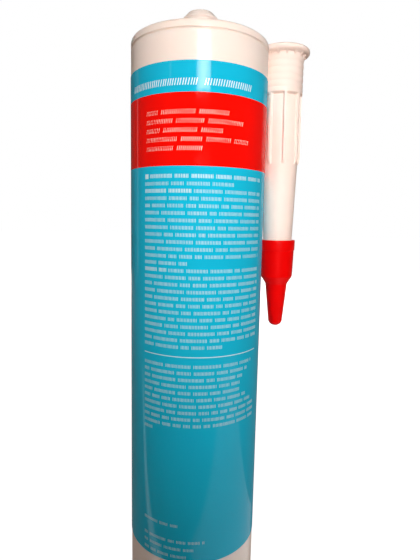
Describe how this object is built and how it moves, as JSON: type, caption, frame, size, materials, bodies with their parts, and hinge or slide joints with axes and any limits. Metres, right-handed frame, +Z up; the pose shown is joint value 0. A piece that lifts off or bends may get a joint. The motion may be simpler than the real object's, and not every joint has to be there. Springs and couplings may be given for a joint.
{
  "type": "caulk tube",
  "caption": "Cylindrical sealant cartridge with a wrapped label, a threaded neck, a rear piston and a capped finned nozzle glued to its side.",
  "frame": {"origin": "centre of the barrel's open rear rim, on the barrel's axis", "axes": "+Z up along the barrel's axis towards the neck, +X towards the side with the stored nozzle, -Y towards the front of the label"},
  "size_m": [0.0674, 0.05, 0.2267],
  "materials": {
    "barrel_plastic": "white blow-moulded polyethylene, satin to glossy",
    "label_film": "printed film, cyan with a red band, glossy varnish",
    "sealant_paste": "soft white paste, glossy when wet",
    "piston_plastic": "moulded polyethylene, matte",
    "nozzle_plastic": "natural moulded polyethylene, slightly translucent, satin",
    "cap_plastic": "red moulded polyethylene, satin",
    "hot_melt_glue": "set hot-melt glue, glossy, milky"
  },
  "bodies": {
    "cartridge": {"barrel": "barrel_plastic", "label": "label_film", "sealant": "sealant_paste", "nozzle": "nozzle_plastic", "glue_dots": "hot_melt_glue"},
    "plunger": {"piston": "piston_plastic"},
    "cap": {"nozzle_cap": "cap_plastic"}
  },
  "joints": [
    {"name": "piston_slide", "type": "slide", "parent": "cartridge", "child": "plunger", "axis": [0, 0, 1], "range_m": [0, 0.18], "deforming": ["sealant"]},
    {"name": "cap_pull", "type": "slide", "parent": "cartridge", "child": "cap", "axis": [0.0117, 0.0036, -0.9999], "range_m": [0, 0.04]}
  ]
}
